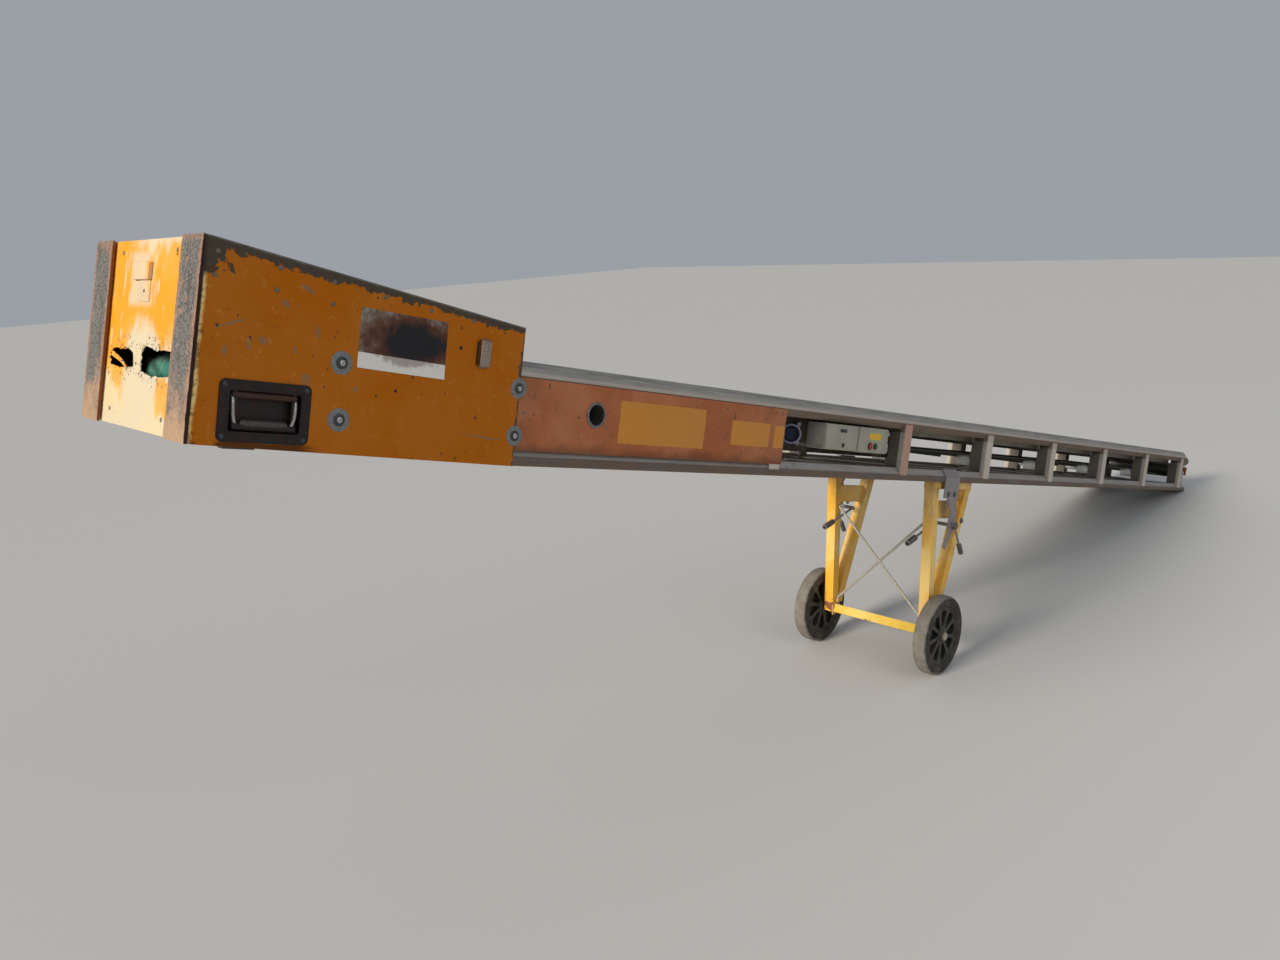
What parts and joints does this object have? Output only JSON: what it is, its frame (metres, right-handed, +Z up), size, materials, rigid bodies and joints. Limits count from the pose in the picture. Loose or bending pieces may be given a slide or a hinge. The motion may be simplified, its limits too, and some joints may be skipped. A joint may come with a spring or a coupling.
{
  "type": "mobile belt conveyor",
  "caption": "Mobile belt conveyor: a feed hopper and slider-bed belt in an aluminium ladder frame, clamped on a two-wheeled stand",
  "frame": {"origin": "midway along and across the bounding box, on the floor the wheels and the discharge end stand on", "axes": "+X level towards the discharge end, +Y to the left of it, +Z up; the frame slopes down towards +X by 13.5 degrees"},
  "size_m": [5.9024, 0.606, 1.7656],
  "materials": {
    "frame_metal": "oxidised extruded aluminium",
    "yellow_paint": "worn orange-yellow paint on steel",
    "panel_paint": "faded salmon-orange paint",
    "bump_wood": "weathered brown-grey bump strips",
    "belt_rubber": "petrol-green conveyor belt",
    "drum_steel": "dull steel",
    "nylon": "white nylon",
    "sheet_steel": "galvanised and stained sheet",
    "dark_steel": "black worn finish",
    "clamp_steel": "grey plated steel",
    "tyre_rubber": "dusty grey solid rubber",
    "hub_plastic": "black moulded plastic",
    "box_plastic": "light grey enclosure plastic",
    "inlet_plastic": "dark blue inlet plastic"
  },
  "bodies": {
    "conveyor": {"belt": "belt_rubber", "bottom_rail_left": "frame_metal", "bottom_rail_right": "frame_metal", "bump_strips": "bump_wood", "converter_box": "box_plastic", "cross_frame_1": "frame_metal", "cross_frame_2": "frame_metal", "cross_frame_3": "frame_metal", "cross_frame_4": "frame_metal", "cross_frame_5": "frame_metal", "cross_frame_6": "frame_metal", "cross_frame_7": "frame_metal", "end_frame": "frame_metal", "handle_left": "dark_steel", "handle_right": "dark_steel", "head_drum": "drum_steel", "hopper_end": "yellow_paint", "hopper_liner_left": "sheet_steel", "hopper_liner_right": "sheet_steel", "hopper_liner_tail": "sheet_steel", "hopper_side_left": "yellow_paint", "hopper_side_right": "yellow_paint", "lift_tube": "frame_metal", "mains_inlet": "inlet_plastic", "mounting_plate": "sheet_steel", "return_rollers": "nylon", "side_panel_left": "panel_paint", "side_panel_right": "panel_paint", "skirt_left": "sheet_steel", "skirt_right": "sheet_steel", "slider_bed": "sheet_steel", "switch_box": "box_plastic", "tail_drum": "drum_steel", "tail_frame": "frame_metal", "top_rail_left": "frame_metal", "top_rail_right": "frame_metal"},
    "wheel_stand": {"stand_legs_left": "yellow_paint", "stand_legs_right": "yellow_paint", "axle": "yellow_paint", "brace_rods": "drum_steel", "clamp_left": "clamp_steel", "clamp_right": "clamp_steel"},
    "wheel_left": {"tyre_left": "tyre_rubber", "hub_left": "hub_plastic"},
    "wheel_right": {"tyre_right": "tyre_rubber", "hub_right": "hub_plastic"}
  },
  "joints": [
    {"name": "stand_slide", "type": "slide", "parent": "conveyor", "child": "wheel_stand", "axis": [0.9724, 0, -0.2334], "range_m": [-0.29, 0.21]},
    {"name": "wheel_left_spin", "type": "hinge", "parent": "wheel_stand", "child": "wheel_left", "pos_m": [-0.27792, 0.2695, 0.155], "axis": [0, 1, 0], "continuous": true},
    {"name": "wheel_right_spin", "type": "hinge", "parent": "wheel_stand", "child": "wheel_right", "pos_m": [-0.27792, -0.2695, 0.155], "axis": [0, 1, 0], "continuous": true}
  ]
}
